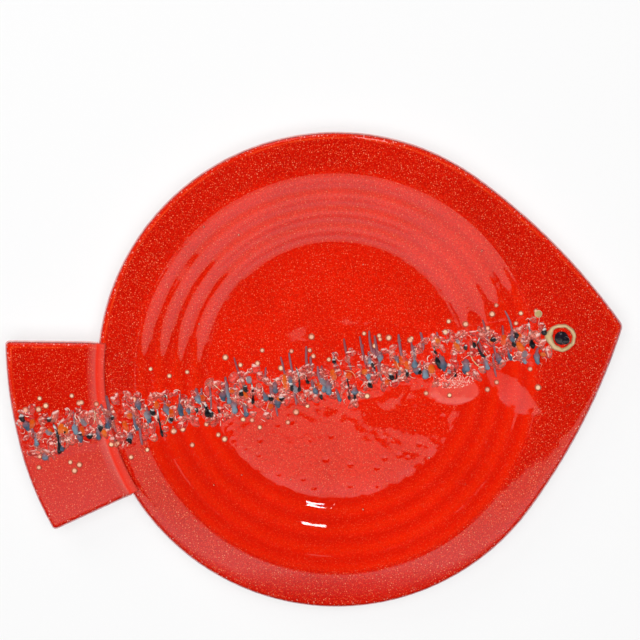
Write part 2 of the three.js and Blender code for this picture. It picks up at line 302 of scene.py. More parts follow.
def bodyEdge(angle):
    # Radius of the outline: a circle, two cheek arcs tangent to it, and a round tip tangent to both.
    turn = apart(angle, 0)
    tip = plate["noseTip"]
    shoulder = plate["noseShoulder"]
    inner = bodyRadius - tip
    tipCentre = bodyRadius + plate["noseLength"] - tip
    swing = (tipCentre ** 2 - inner ** 2) / (2 * (inner - tipCentre * np.cos(shoulder)))
    along = -swing * np.cos(turn - shoulder)  # the cheek's centre, measured along the ray
    cheek = along + np.sqrt((bodyRadius + swing) ** 2 - swing ** 2 + along ** 2)
    tipReach = np.arctan2(swing * np.sin(shoulder), tipCentre + swing * np.cos(shoulder))
    tipTurn = np.arctan2(tip * np.sin(tipReach), tipCentre + tip * np.cos(tipReach))
    tipEdge = tipCentre * np.cos(turn) + np.sqrt(np.maximum(tip ** 2 - (tipCentre * np.sin(turn)) ** 2, 0))
    return np.where(turn > shoulder, bodyRadius, np.where(turn > tipTurn, cheek, tipEdge))


def sheetRings(angle, edge, level, wave, edgeRadius, side):
    # Rings of one face of a sheet from the floor to the edge, which is rounded over by a quarter circle.
    # Three rings lie close together at the wall's top, where the bend is crisp.
    hidden = int(wave == 0)
    steps = plate["terraces"] * plate["ringsPerTerrace"][hidden]
    crest = wellRadius - plate["drift"] * np.cos(angle - plate["driftAngle"]) + 0 * edge
    wall = crest - plate["crisp"] - plate["wellFloor"]
    well = plate["wellFloor"] + np.linspace(0, 1, steps)[:, None] * wall
    floor = np.linspace(0, 1, plate["floorRings"][hidden])[1:-1, None] * plate["wellFloor"] + 0 * edge
    rim = crest + np.linspace(0, 1, plate["rimRings"][hidden])[1:-1, None] * (edge - edgeRadius - crest)
    turn = np.linspace(0, np.pi / 2, plate["edgeRings"][hidden])[:, None]
    brim = edge - edgeRadius * (1 - np.sin(turn))
    radius = np.concatenate([floor, well, crest, crest + plate["crisp"], rim, brim])
    height = level + slump(radius, angle, wave)
    height[-len(turn):] -= side * edgeRadius * (1 - np.cos(turn))
    return radius, height


def bodySheet(upper, lower, spread=0.0):
    # A closed shell: rings of the upper face out to the edge, then rings of the lower face back in.
    share = np.arange(plate["angles"]) / plate["angles"]
    angle = 2 * np.pi * share - plate["crowding"] * np.sin(2 * np.pi * share)  # closer round the nose
    edge = bodyEdge(angle)[None, :] + spread
    topRadius, topHeight = sheetRings(angle, edge, *upper, 1)
    lowRadius, lowHeight = sheetRings(angle, edge, *lower, -1)
    topHeight = topHeight + relief(topRadius * np.cos(angle), topRadius * np.sin(angle))
    if upper[1] > 0:
        near = np.maximum(1 - (edge - topRadius) / plate["browWidth"], 0)
        topHeight = topHeight - plate["brow"] * near ** 2
    radius = np.concatenate([topRadius, lowRadius[::-1]])
    height = np.concatenate([topHeight, lowHeight[::-1]])
    grid = np.stack([radius * np.cos(angle), radius * np.sin(angle), height], -1)
    rings, count = radius.shape
    poles = [[0, 0, upper[0] + relief(0, 0)], [0, 0, lower[0]]]
    points = np.concatenate([grid.reshape(-1, 3), poles])
    fromEdge = np.append((edge - radius).ravel(), [1, 1])
    return points, tubeFaces(rings, count), fromEdge


# Shape of the tail, in a frame turned about the body's centre

tail = {
    "length": 56.5 * mm, "rootHalf": 52.4 * mm, "endHalf": 65.6 * mm, "lap": 4.5 * mm, "ramp": 7 * mm,
    "drop": 3.4 * mm, "base": 2.6 * mm, "cover": 2.8 * mm, "thinning": 0.6, "corner": 2.4 * mm,
    "turn": np.radians(2.2), "flick": 3.6 * mm, "fold": 0.7 * mm,
    "lapRows": 46, "flatRows": 44, "edgeRows": 9, "columns": 130,
}
tailReach = bodyRadius + tail["length"]
tailFlare = (tail["endHalf"] - tail["rootHalf"]) / tail["length"]
tailSeat = coverTop + slump(bodyRadius, np.pi, plate["wave"]) + plate["gap"]


def tailLevels(x, y):
    # Heights of the tail's underside, of the joint between its sheets and of its top: level on the rim,
    # thinned where it laps, and stepped down outside the rim.
    step = smoothStep((np.hypot(x, y) - bodyRadius - plate["gap"]) / tail["ramp"])
    full = tail["thinning"] + (1 - tail["thinning"]) * step
    under = tailSeat - tail["drop"] * step
    joint = under + tail["base"] * full
    inward = np.clip((bodyRadius + plate["gap"] - np.hypot(x, y)) / tail["lap"], 0, 1)
    return under, joint, joint + plate["gap"] + tail["cover"] * full - tail["fold"] * inward ** 2


def tailSide(reach):
    return tail["rootHalf"] + tailFlare * (reach - bodyRadius)


def roundOver(radius, inset):
    return radius - np.sqrt(np.maximum(radius ** 2 - np.maximum(radius - inset, 0) ** 2, 0))


def tailHalf(radius):
    # Half width of the tail where an arc round the body's centre meets its straight sides.
    start = tail["rootHalf"] - tailFlare * bodyRadius
    slope = 1 + tailFlare ** 2
    return tailSide((np.sqrt(slope * radius ** 2 - start ** 2) - tailFlare * start) / slope)


def tailGrid(spread=0.0):
    # Rows are arcs round the body's centre, from the lap to the tail's end, and get closer at its edges.
    corner = tail["corner"]
    inner = bodyRadius - tail["lap"] + spread
    outer = tailReach + spread
    ease = corner * (1 - np.cos(np.linspace(0, np.pi / 2, tail["edgeRows"])))
    rampEnd = bodyRadius + plate["gap"] + tail["ramp"]
    radius = np.concatenate([
        inner + ease, np.linspace(inner + corner, rampEnd, tail["lapRows"])[1:],
        np.linspace(rampEnd, outer - corner, tail["flatRows"])[1:], (outer - ease)[-2::-1]])
    # A grown sheet is tucked in on the rim and proud outside it.
    grown = spread * np.where(radius < bodyRadius + plate["spread"], -1, 1)
    half = tailHalf(radius) + grown - roundOver(corner, outer - radius)
    y = half[:, None] * np.sin(np.pi / 2 * np.linspace(-1, 1, tail["columns"]))
    x = -np.sqrt(radius[:, None] ** 2 - y ** 2)
    share = np.clip((radius - rampEnd) / (outer - rampEnd), 0, 1)[:, None]
    x = x - tail["flick"] * share * np.clip(y / half[:, None], 0, 1) ** 1.5  # one corner reaches further out
    inset = np.minimum(half[:, None] - np.abs(y), np.minimum(outer - radius, radius - inner)[:, None])
    return x, y, inset


def tailSheet(upper, lower, edgeRadius, spread=0.0):
    # A slab between two faces on the same grid, with walls round its border.
    x, y, inset = tailGrid(spread)
    heights = tailLevels(x, y)
    brim = np.minimum(edgeRadius, 0.8 * (heights[upper] - heights[lower]))
    placeX, placeY = turned(x, y, tail["turn"])
    top = np.stack([placeX, placeY, heights[upper] - roundOver(brim, inset)], -1)
    low = np.stack([placeX, placeY, heights[lower] + 0 * x], -1)
    rows, columns = x.shape
    number = np.arange(rows * columns).reshape(rows, columns)
    border = np.concatenate([number[0, :-1], number[:-1, -1], number[-1, :0:-1], number[:0:-1, 0]])
    after = np.roll(border, -1)
    below = rows * columns
    wall = np.stack([border, border + below, after + below, after], -1)
    topFaces = gridQuads(rows, columns)[:, ::-1]
    lowFaces = gridQuads(rows, columns, below)
    points = np.concatenate([top.reshape(-1, 3), low.reshape(-1, 3)])
    return points, [topFaces, lowFaces, wall[:, ::-1]], np.tile(inset.ravel(), 2)


def plateTop(x, y):
    # Top of the glass under any point: the tail where it lies, and the body elsewhere.
    tailX, tailY = turned(x, y, -tail["turn"])
    onTail = (tailX < 0) & (np.hypot(x, y) > bodyRadius - tail["lap"]) & (np.abs(tailY) < tailSide(-tailX))
    return np.where(onTail, tailLevels(tailX, tailY)[2], bodyTop(x, y))


# Red glass with fine bubbles, lighter along its edges, and the clear glass under it

redGlass = {
    "well": (0.82, 0.0115, 0.0012), "rim": (0.68, 0.0085, 0.0018), "edge": (0.74, 0.0125, 0.0024),
    "dark": (0.44, 0.0035, 0.0008), "riser": (0.87, 0.0175, 0.0008), "tread": (0.64, 0.0056, 0.0006),
    "bubble": (1.0, 0.16, 0.05), "spark": (1.0, 0.4, 0.2), "lip": (0.14, 0.004, 0.003),
    "line": (1.0, 0.08, 0.011), "chip": (0.95, 0.55, 0.46), "haze": (0.87, 0.12, 0.09),
    "strip": (0.86, 0.018, 0.0016), "bend": (0.84, 0.22, 0.18),
    "bubbleScale": 1250, "sparkScale": 760, "chipScale": 560, "cloudScale": 24, "grainScale": 900,
    "lineScale": 60, "swellScale": 95, "rippleScale": 280, "pitScale": 125, "plainPits": 0.06,
    "bump": 0.4 * mm, "lipWidth": 0.7 * mm, "lipBreak": 1.4 * mm, "lineAt": 3.1 * mm, "lineHalf": 0.8 * mm,
    "lineSoft": 0.4 * mm, "chipWidth": 3.4 * mm,
}


def makeRedGlass():
    # From the bottom up: the well or the rim, with the well painted lighter, risers and treads, dark clouds
    # and grain, haze with a painted reflection over it, the edge with painted light on its upper side,
    # specks, and painted reflections on the tail's lap.
    material, tree, shader = newGlass("redGlass", Roughness=0.03)
    place = objectPlace(tree)
    # Painted light: the well's red is lighter than the rim's, partly a tone of the glass and partly painted
    # light.
    colour = mixed(markOf(tree, "well"), redGlass["rim"], redGlass["well"])
    step = markOf(tree, "step")
    cloud = times(ranged(noiseOf(place, redGlass["cloudScale"]), 0.65, 0.35), 0.2)
    grain = ranged(noiseOf(place, redGlass["grainScale"], detail=1), 0.6, 0.34)
    grain = times(grain, ranged(markOf(tree, "specks"), 0.3, 0.8, 0.22, 0.62))
    lap = markOf(tree, "lap")
    layers = {
        "riser": ranged(step, 0, 1, 0, 0.7), "tread": ranged(step, 0, -1, 0, 0.4),
        "dark": calc("ADD", cloud, grain), "haze": ranged(markOf(tree, "haze"), 0, 1, 0, 0.55),
        # Painted reflections on the tail's lap: a pale one over the bend, and a saturated strip where the
        # bend mirrors dark.
        **edgeLayers(tree, place), **speckLayers(tree, place), "bend": ranged(lap, 1.0, 0.2, 0.0, 0.33),
        "strip": times(ranged(lap, 0.25, 0.05), ranged(lap, -0.5, 0.0, 0.35, 0.8)),
    }
    for name, share in layers.items():
        colour = mixed(share, colour, redGlass[name])
    feed(colour, shader.inputs["Base Color"])
    shine = ranged(lap, 0.0, 0.25, 0.1, 0.5)  # the lap is duller
    feed(shine, shader.inputs["Specular IOR Level"])
    bumped(shader, unevenness(tree, place), redGlass["bump"])
    return material


def unevenness(tree, place):
    # Slow swells, ripples near the spine, and pits where they are marked.
    swell = noiseOf(place, redGlass["swellScale"], detail=1)
    ripple = noiseOf(place, redGlass["rippleScale"], detail=1)
    pit = spotsOf(place, redGlass["pitScale"], (0.04, 0.3), (0.45, 0.5, 0.0, 0.65))
    pitted = markOf(tree, "pitted")
    fused = markOf(tree, "fused")
    calm = ranged(pitted, 0.1, 1, 0.08, 0.22)
    waved = times(swell, calc("MAXIMUM", calm, ranged(fused, 0.1, 1, 0.0, 0.5)))
    waved = calc("ADD", waved, times(ripple, ranged(fused, 0.3, 1, 0.0, 0.7)))
    return calc("ADD", waved, times(pit, pitted))


def speckLayers(tree, place):
    # Two sizes of pale specks: a dense fine one and a sparse bright one.
    specks = markOf(tree, "specks")
    bubble = spotsOf(place, redGlass["bubbleScale"], (0.45, 0.15), (0.3, 0.95, 0.0, 0.75))
    spark = spotsOf(place, redGlass["sparkScale"], (0.32, 0.12), (0.4, 0.95, 0.0, 0.85))
    return {"bubble": times(bubble, ranged(specks, 0.2, 0.8, 0.4, 1.0)), "spark": times(spark, specks)}


def edgeLayers(tree, place):
    # On the upper side a warm strip and a light line, painted light where the rounded edge gathers it, then
    # pale chips and a broken dark line at the very edge all round, strongest on the upper side.
    inset = markOf(tree, "inset")
    high = axesOf(place)["Y"]
    upper = ranged(high, -0.03, 0.05)
    lineAt, chipWidth, lipWidth = redGlass["lineAt"], redGlass["chipWidth"], redGlass["lipWidth"]
    # Painted light: a warm strip and a light line just inside the edge, on the upper side only.
    warm = times(upper, ranged(inset, lineAt, lineAt - redGlass["lineSoft"]))
    fromLine = calc("ABSOLUTE", calc("SUBTRACT", inset, lineAt), 0.0)
    line = times(ranged(fromLine, redGlass["lineHalf"], 0.0, 0.0, 0.55),
                 ranged(noiseOf(place, redGlass["lineScale"]), 0.35, 0.55))
    chip = spotsOf(place, redGlass["chipScale"], (0.34, 0.14), (0.5, 0.6))
    chip = times(chip, ranged(inset, chipWidth, 0.5 * chipWidth, 0.0, 0.7))
    broken = times(noiseOf(place, redGlass["grainScale"], detail=1), redGlass["lipBreak"])
    lip = ranged(calc("ADD", inset, broken), 2.2 * lipWidth, lipWidth, 0.0, 0.85)
    lip = times(lip, ranged(high, -0.03, 0.05, 0.3, 1.0))
    return {"edge": warm, "line": times(upper, line), "chip": chip, "lip": lip}


# The upper colours are paler and warmer: painted light on the side that faces +Y.
clearGlass = {
    "tint": (0.5, 0.25, 0.28), "pale": (0.8, 0.54, 0.54), "upperTint": (0.8, 0.36, 0.34),
    "upperPale": (0.9, 0.6, 0.57), "streakScale": 240, "bumpScale": 600, "bump": 0.05 * mm,
}


def makeClearGlass():
    # Streaked glass, painted warmer and paler on the upper side as if lit there. It has a faint painted glow
    # in its own colour, which stands in for light that runs inside the sheet and comes out at its edge.
    material, tree, shader = newGlass("clearGlass", Transmission_Weight=0.3, Emission_Strength=0.15)
    place = objectPlace(tree)
    upper = ranged(axesOf(place)["Y"], -0.02, 0.04)
    streak = ranged(noiseOf(place, clearGlass["streakScale"], detail=3), 0.3, 0.7)
    colour = mixed(upper, mixed(streak, clearGlass["tint"], clearGlass["pale"]),
                   mixed(streak, clearGlass["upperTint"], clearGlass["upperPale"]))
    feed(colour, shader.inputs["Base Color"])
    # A painted glow in the glass's own colour.
    feed(colour, shader.inputs["Emission Color"])
    bumped(shader, noiseOf(place, clearGlass["bumpScale"], detail=1), clearGlass["bump"])
    return material


spine = {
    "offset": -5 * mm, "turn": np.radians(1.5), "near": 14 * mm, "from": -208 * mm, "to": 138 * mm,
    "blend": 12 * mm, "width": 0.85, "swells": ((0.2, 11 * mm, 0.8), (0.15, 4.7 * mm, 0)),
}


def tailShare(x):
    # How far the spine has turned with the tail, from 0 on the body to 1 on the tail.
    return smoothStep((-x - bodyRadius) / spine["blend"] + 0.5)


def alongSpine(x, y):
    # A point of the plate in the spine's own frame, which turns with the tail behind the body.
    spineX, spineY = turned(x, y, -spine["turn"])
    tailX, tailY = turned(x, y, -tail["turn"])
    onTail = tailShare(x)
    return spineX + onTail * (tailX - spineX), (1 - onTail) * (spineY - spine["offset"]) + onTail * tailY


def fusedMark(points):
    # How close a point lies to the spine, from 0 to 1. The glass there is uneven.
    along, aside = alongSpine(points[:, 0], points[:, 1])
    beside = smoothStep(1.6 - np.abs(aside) / spine["near"])
    return beside * smoothStep((spine["to"] - along) / spine["blend"])


sheetMarks = {
    "blend": 10 * mm, "wallFoot": 1.5 * mm, "wallTop": 5 * mm, "lightest": 0.7, "pitsEnd": 1.02,
    "pitsSteep": 12, "rimSpecks": 0.85, "wellSpecks": 0.5, "tailSpecks": 0.7, "wallLoss": 0.6,
    "hazeFrom": 0.2 * mm, "dripSteep": 5,
}


def makeSheets():
    red = makeRedGlass()
    clear = makeClearGlass()
    meet = plate["base"]
    plain = redGlass["plainPits"]
    points, faces, inset = bodySheet((coverTop, plate["wave"], plate["coverEdge"]), (meet, 0, 0))
    x, y = points[:, 0], points[:, 1]
    radius = np.hypot(x, y)
    deep = smoothStep((wellRadius - radius) / sheetMarks["blend"] + 0.5)
    steps, out = wallSteps(radius, np.arctan2(y, x))
    left = plate["terraces"] * plate["pitch"] - out
    onWall = smoothStep(out / sheetMarks["wallFoot"] + 1) * smoothStep(left / sheetMarks["wallTop"])
    below = smoothStep(-alongSpine(x, y)[1] / sheetMarks["blend"])
    onFloor = smoothStep(sheetMarks["pitsSteep"] * (sheetMarks["pitsEnd"] - radius / plate["wellFloor"]))
    pitted = plain + (1 - plain) * below * onFloor
    shade = np.cos(2 * np.pi * (steps - sheetMarks["lightest"])) * onWall  # lightest on each riser
    specks = sheetMarks["rimSpecks"] + (sheetMarks["wellSpecks"] - sheetMarks["rimSpecks"]) * deep
    specks = specks * (1 - sheetMarks["wallLoss"] * onWall * below)
    # Paler over the first pool: a haze of fine bubbles and a painted reflection.
    haze = smoothStep(moundHeight(x, y, mounds[0]) / sheetMarks["hazeFrom"])
    fused = fusedMark(points) * (1 - smoothStep(sheetMarks["dripSteep"] * dripShare(x, y)))
    newPiece("bodyCover", points, faces, red, ["cover_sheet"],
             {"inset": inset, "fused": fused, "well": deep, "step": shade, "pitted": pitted, "haze": haze,
              "lap": 1, "specks": specks})
    points, faces, inset = bodySheet((meet, 0, 0), (0, plate["wave"], plate["baseEdge"]), plate["spread"])
    newPiece("bodyBase", points, faces, clear, ["base_sheet"])
    points, faces, inset = tailSheet(2, 1, tail["corner"])
    lap = (np.hypot(points[:, 0], points[:, 1]) - bodyRadius - plate["gap"]) / tail["ramp"]
    # The tail is painted darker than the body, the rim's red with the tread's darker red over it: painted
    # shade.
    newPiece("tailCover", points, faces, red, ["tail_cover_sheet"],
             {"inset": inset, "fused": fusedMark(points), "well": 0, "step": -1, "pitted": plain, "haze": 0,
              "lap": lap, "specks": sheetMarks["tailSpecks"]})
    points, faces, inset = tailSheet(1, 0, 0, plate["spread"])
    newPiece("tailBase", points, faces, clear, ["tail_base_sheet"])


makeSheets()


# Fused chips: closed spindles draped on the glass

chips = {
    "sink": 0.3, "glintAt": 0.6, "glintHalf": 0.4, "cloudScale": 420, "breakScale": 330, "bumpScale": 700,
}


def chipMesh(head, tip, half, high, bend=0.0, lift=0.0, sides=8, domed=False):
    # An oval carried along each chip's axis, with half widths and heights for each station of each chip.
    count, stations = half.shape
    along = tip - head
    length = np.linalg.norm(along, axis=1)[:, None]
    ahead = along / length
    aside = np.stack([-ahead[:, 1], ahead[:, 0]], -1)
    share = chipStations(stations)
    bow = np.broadcast_to(bend, count)[:, None] * length * np.sin(np.pi * share)
    axis = head[:, None] + along[:, None] * share[None, :, None] + aside[:, None] * bow[:, :, None]
    turn = circle(sides)
    spread = half[:, :, None] * np.cos(turn)
    rise = high[:, :, None] * np.sin(turn) * np.where(np.sin(turn) < 0, chips["sink"], 1)
    x = axis[:, :, None, 0] + aside[:, None, None, 0] * spread
    y = axis[:, :, None, 1] + aside[:, None, None, 1] * spread
    rings = np.stack([x, y, plateTop(x, y) + rise + lift], -1).reshape(count, -1, 3)
    # The glint mark: a painted highlight on the side of each chip that faces +Y, short of the rim.
    facing = aside[:, None, None, 1] * np.cos(turn) + ahead[:, None, None, 1] * (2 * share - 1)[:, None]
    glint = np.maximum(1 - np.abs(facing - chips["glintAt"]) / chips["glintHalf"], 0)
    glint = (glint * (np.sin(turn) > -0.1)).reshape(count, -1)  # on the upper side, short of the rim
    glint = np.concatenate([glint, np.zeros((count, 2))], 1)
    ends = np.stack([head, tip], 1)
    ends = np.concatenate([ends, (plateTop(ends[..., 0], ends[..., 1]) + lift)[..., None]], -1)
    points = np.concatenate([rings, ends], 1)
    first = points.shape[1] * np.arange(count)[:, None, None]
    faces = [(group + first).reshape(-1, group.shape[1]) for group in tubeFaces(stations, sides)]
    run = np.append(np.repeat(share, sides), [0, 1])
    crown = high.max(1)[:, None, None] if domed else high[:, :, None]
    rim = (1 - np.maximum(rise / crown, 0)).reshape(count, -1)
    rim = np.concatenate([rim, np.ones((count, 2))], 1)
    marks = {"luck": np.repeat(chance.random(count), points.shape[1]), "run": np.tile(run, count), "rim": rim,
             "glint": glint}
    return points, faces, marks


def chipStations(stations):
    # Shares of a chip's length, closer together at both ends.
    return 0.5 - 0.5 * np.cos(np.pi * (np.arange(stations) + 0.7) / (stations + 0.4))


def lumpProfile(half, stations=9, power=0.42):
    # A rounded lump: an ellipse at a power of one half, and blunter below it.
    share = chipStations(stations)
    return half[:, None] * (4 * share * (1 - share)) ** power


def bandPoint(x, aside):
    # A point at a distance along the spine and beside it. The spine turns with the tail.
    spineX, spineY = turned(x, aside + spine["offset"], spine["turn"])
    tailX, tailY = turned(x, aside, tail["turn"])
    onTail = tailShare(x)
    return np.stack([spineX + onTail * (tailX - spineX), spineY + onTail * (tailY - spineY)], -1)


def scatter(count, reach=1.0):
    # Places spread evenly along the spine, and by chance beside it, in a band that swells and thins.
    x = spine["from"] + (np.arange(count) + chance.random(count)) / count * (spine["to"] - spine["from"])
    wide = spine["width"]
    for share, length, start in spine["swells"]:
        wide = wide + share * np.sin(x / length + start)
    return x, chance.uniform(-1, 1, count) * reach * wide


def axisAcross(x, aside, length, lean):
    # Head and tip of chips that lie across the spine, with the head on the lower side.
    turn = chance.uniform(-lean, lean, len(x))
    halfX = length / 2 * np.sin(turn)
    halfY = length / 2 * np.cos(turn)
    return bandPoint(x - halfX, aside - halfY), bandPoint(x + halfX, aside + halfY)


def nodesNamed(start):
    return sorted(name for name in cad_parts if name.startswith(start))


def nodeEnds(names):
    # Low and high end of each named solid, as the middle of its points near either end in Y.
    ends = []
    for name in names:
        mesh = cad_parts[name].data
        flat = np.empty(3 * len(mesh.vertices))
        mesh.vertices.foreach_get("co", flat)
        spots = flat.reshape(-1, 3)[:, :2]
        low, high = spots[:, 1].min(), spots[:, 1].max()
        near = 0.12 * (high - low)
        lowEnd = spots[spots[:, 1] < low + near].mean(0)
        highEnd = spots[spots[:, 1] > high - near].mean(0)
        ends.append([(lowEnd[0], low), (highEnd[0], high)])
    ends = np.array(ends)
    return ends[:, 0], ends[:, 1]


def joined(first, second):
    return np.concatenate([first[0], second[0]]), np.concatenate([first[1], second[1]])


def laidAcross(kind, names=()):
    # Ends of chips across the spine: the named solids first, then others by chance.
    x, aside = scatter(kind["count"], kind["reach"])
    ends = axisAcross(x, aside, mm * chance.uniform(*kind["length"], kind["count"]), kind["lean"])
    return joined(nodeEnds(names), ends) if names else ends


def makeChips(name, head, tip, half, high, material, slotName, nodes=(), **shape):
    points, faces, marks = chipMesh(head, tip, half, high, **shape)
    newPiece(name, points, faces, material, nodes, marks)


def chipGlass(name, glass, **sockets):
    # Glass that shifts between two colours from chip to chip, with another round its outline, on some kinds a
    # painted highlight. Some kinds have a broken pale crescent, a painted glint on the side that faces +Y,
    # another colour towards the tip, or patches of a second tone.
    material, tree, shader = newGlass(name, **sockets)
    place = objectPlace(tree)
    cloud = times(noiseOf(place, chips["cloudScale"], detail=3), 0.5)
    share = calc("ADD", cloud, times(markOf(tree, "luck"), 0.6))
    colour = mixed(ranged(share, 0.25, 0.8), glass["core"], glass["other"])
    rim = ranged(markOf(tree, "rim"), *glass.get("rimAt", (0.55, 0.95)))
    colour = mixed(rim, colour, glass["rim"])
    # A painted glint: paler colour and less transmission where the glint mark is.
    if "glint" in glass:
        whole = ranged(noiseOf(place, chips["breakScale"]), 0.4, 0.55)
        caught = times(markOf(tree, "glint"), whole)
        colour = mixed(ranged(caught, 0.1, 0.6, 0.0, 0.9), colour, glass["glint"])
        if "Transmission_Weight" in sockets:
            clear = sockets["Transmission_Weight"]
            feed(ranged(caught, 0.1, 0.6, clear, 0.2 * clear), shader.inputs["Transmission Weight"])
    if "tail" in glass:
        colour = mixed(ranged(markOf(tree, "run"), 0.3, 0.75), colour, glass["tail"])
    if "patch" in glass:
        tone = noiseOf(place, glass["patchScale"], detail=3)
        colour = mixed(ranged(tone, 0.42, 0.6), colour, glass["patch"])
    feed(colour, shader.inputs["Base Color"])
    rough = noiseOf(place, chips["bumpScale"], detail=1)
    bumped(shader, rough, glass.get("bump", 0.1 * mm))
    return material


nuggets = {
    "bend": 0.13, "orangeLift": 0.3 * mm,
    "clear": {
        "count": 480, "reach": 16 * mm, "length": (2.8, 9.0), "lean": 1.2, "half": (1.1, 2.9),
        "high": (0.9, 2.0)},
    "orange": {
        "count": 30, "reach": 12 * mm, "length": (2.8, 9.0), "lean": 0.6, "half": (1.8, 2.8),
        "high": (1.4, 2.0)},
    # The clear glass's pale rim and its glint are painted highlights.
    "clearGlass": {
        "core": (0.76, 0.032, 0.016), "other": (0.86, 0.3, 0.22), "rim": (0.93, 0.58, 0.48),
        "rimAt": (0.62, 0.9), "glint": (0.97, 0.7, 0.64), "bump": 0.08 * mm},
    "orangeGlass": {"core": (0.96, 0.19, 0.016), "other": (0.92, 0.1, 0.008), "rim": (0.9, 0.1, 0.01)},
}


def lumpsFor(lump, names):
    head, tip = laidAcross(lump, names)
    half = mm * chance.uniform(*lump["half"], len(head))
    high = mm * chance.uniform(*lump["high"], len(head))
    return head, tip, lumpProfile(half, 7), lumpProfile(high, 7)


def makeNuggets():
    names = nodesNamed("nugget_clear")
    material = chipGlass("nuggetGlass", nuggets["clearGlass"], Transmission_Weight=0.72, Roughness=0.03)
    lumps = lumpsFor(nuggets["clear"], names)
    bend = chance.normal(0, nuggets["bend"], len(lumps[0]))
    makeChips("clearNuggets", *lumps, material, "nugget_glass", names, bend=bend)
    names = nodesNamed("nugget_orange")
    material = chipGlass("orangeGlass", nuggets["orangeGlass"], Transmission_Weight=0.4, Roughness=0.04)
    lumps = lumpsFor(nuggets["orange"], names)
    makeChips("orangeNuggets", *lumps, material, "orange_glass", names, lift=nuggets["orangeLift"])


ribs = {
    "flat": 0.85, "stations": 14, "headLong": (1.15, 2.2), "headMost": 0.49, "uneven": 0.2, "wave": 0.9 * mm,
    "blue": {
        "count": 34, "reach": 13 * mm, "length": (5, 13), "lean": 0.22, "head": (1.2, 2.6),
        "stick": (0.5, 1.4), "bend": 0.035, "lift": 0.5 * mm, "roughness": 0.05},
    "black": {
        "count": 36, "reach": 13 * mm, "length": (3.4, 7), "lean": 0.22, "head": (0.8, 2.1),
        "stick": (0.4, 1.0), "bend": 0.1, "lift": 0.8 * mm, "roughness": 0.03},
    "blueGlass": {
        "core": (0.04, 0.075, 0.13), "other": (0.2, 0.28, 0.35), "rim": (0.03, 0.03, 0.05),
        "rimAt": (0.45, 0.85), "glint": (0.74, 0.68, 0.68), "tail": (0.26, 0.1, 0.12)},
    "blackGlass": {
        "core": (0.006, 0.006, 0.008), "other": (0.02, 0.018, 0.022), "rim": (0.03, 0.012, 0.012),
        "glint": (0.74, 0.68, 0.68)},
}


def dropProfile(length, headHalf, stickHalf):
    # An oval head that runs into a stick: the two half widths joined by a soft maximum, then made uneven.
    count = len(length)
    length, headHalf, stickHalf = length[:, None], headHalf[:, None], stickHalf[:, None]
    run = chipStations(ribs["stations"]) * length
    long = np.minimum(headHalf * chance.uniform(*ribs["headLong"], (count, 1)), ribs["headMost"] * length)
    head = headHalf * np.sqrt(np.maximum(1 - (run / long - 1) ** 2, 0))
    left = np.maximum(length - run, 0) / length
    stick = stickHalf * np.sqrt(1 - (1 - left) ** 8) * smoothStep(run / headHalf)
    uneven = 1 + ribs["uneven"] * np.sin(run / ribs["wave"] + 7 * chance.random((count, 1)))
    return np.cbrt(head ** 3 + stick ** 3) * uneven


def ribsFor(rib, names):
    head, tip = laidAcross(rib, names)
    headHalf = mm * chance.uniform(*rib["head"], len(head))
    stickHalf = mm * chance.uniform(*rib["stick"], len(head))
    profile = dropProfile(np.linalg.norm(tip - head, axis=1), headHalf, stickHalf)
    return head, tip, profile, ribs["flat"] * profile


def makeRibs():
    for kind in ("blue", "black"):
        rib = ribs[kind]
        names = nodesNamed("rib_" + kind)
        material = chipGlass(kind + "Glass", ribs[kind + "Glass"], Roughness=rib["roughness"])
        bend = chance.normal(0, rib["bend"], len(names) + rib["count"])
        makeChips(kind + "Ribs", *ribsFor(rib, names), material, kind + "_glass", names, bend=bend,
                  lift=rib["lift"])


dots = {
    "count": 60, "half": (1.5, 2.3), "near": 13 * mm, "far": 31 * mm, "lean": 1.5, "flat": 0.42,
    "glass": {
        "core": (0.86, 0.36, 0.25), "other": (0.95, 0.66, 0.4), "rim": (0.5, 0.1, 0.05),
        "rimAt": (0.12, 0.3)},
}


def makeDots():
    names = nodesNamed("dot_cream")
    x, side = scatter(dots["count"])
    far = dots["near"] + (dots["far"] - dots["near"]) * chance.random(dots["count"]) ** 2
    half = mm * chance.uniform(*dots["half"], dots["count"])
    head, tip = joined(nodeEnds(names), axisAcross(x, np.sign(side) * far, 2 * half, dots["lean"]))
    wide = lumpProfile(np.linalg.norm(tip - head, axis=1) / 2, 14, 0.5)
    material = chipGlass("creamGlass", dots["glass"], Roughness=0.08)
    makeChips("creamDots", head, tip, wide, dots["flat"] * wide, material, "cream_glass", names, sides=12,
              domed=True)


stringers = {
    "count": 38, "crowding": 0.6, "reach": (2, 16), "above": 0.8, "below": -0.7, "length": (9, 23),
    "lean": 0.16, "half": (0.65, 1.1), "flat": 0.8, "bend": 0.04, "lift": 0.3 * mm,
    "glass": {"core": (0.3, 0.06, 0.07), "other": (0.27, 0.12, 0.15), "rim": (0.2, 0.035, 0.035)},
}


def makeStringers():
    # Long sticks, denser towards the nose and mostly above the spine.
    count = stringers["count"]
    x = spine["from"] + (spine["to"] - spine["from"]) * chance.random(count) ** stringers["crowding"]
    aside = mm * chance.uniform(*stringers["reach"], count)
    aside = aside * np.where(chance.random(count) < stringers["above"], 1, stringers["below"])
    head, tip = axisAcross(x, aside, mm * chance.uniform(*stringers["length"], count), stringers["lean"])
    half = lumpProfile(mm * chance.uniform(*stringers["half"], count), 12, 0.2)
    material = chipGlass("violetGlass", stringers["glass"], Roughness=0.08)
    makeChips("violetStringers", head, tip, half, stringers["flat"] * half, material, "violet_glass",
              bend=chance.normal(0, stringers["bend"], count), lift=stringers["lift"])


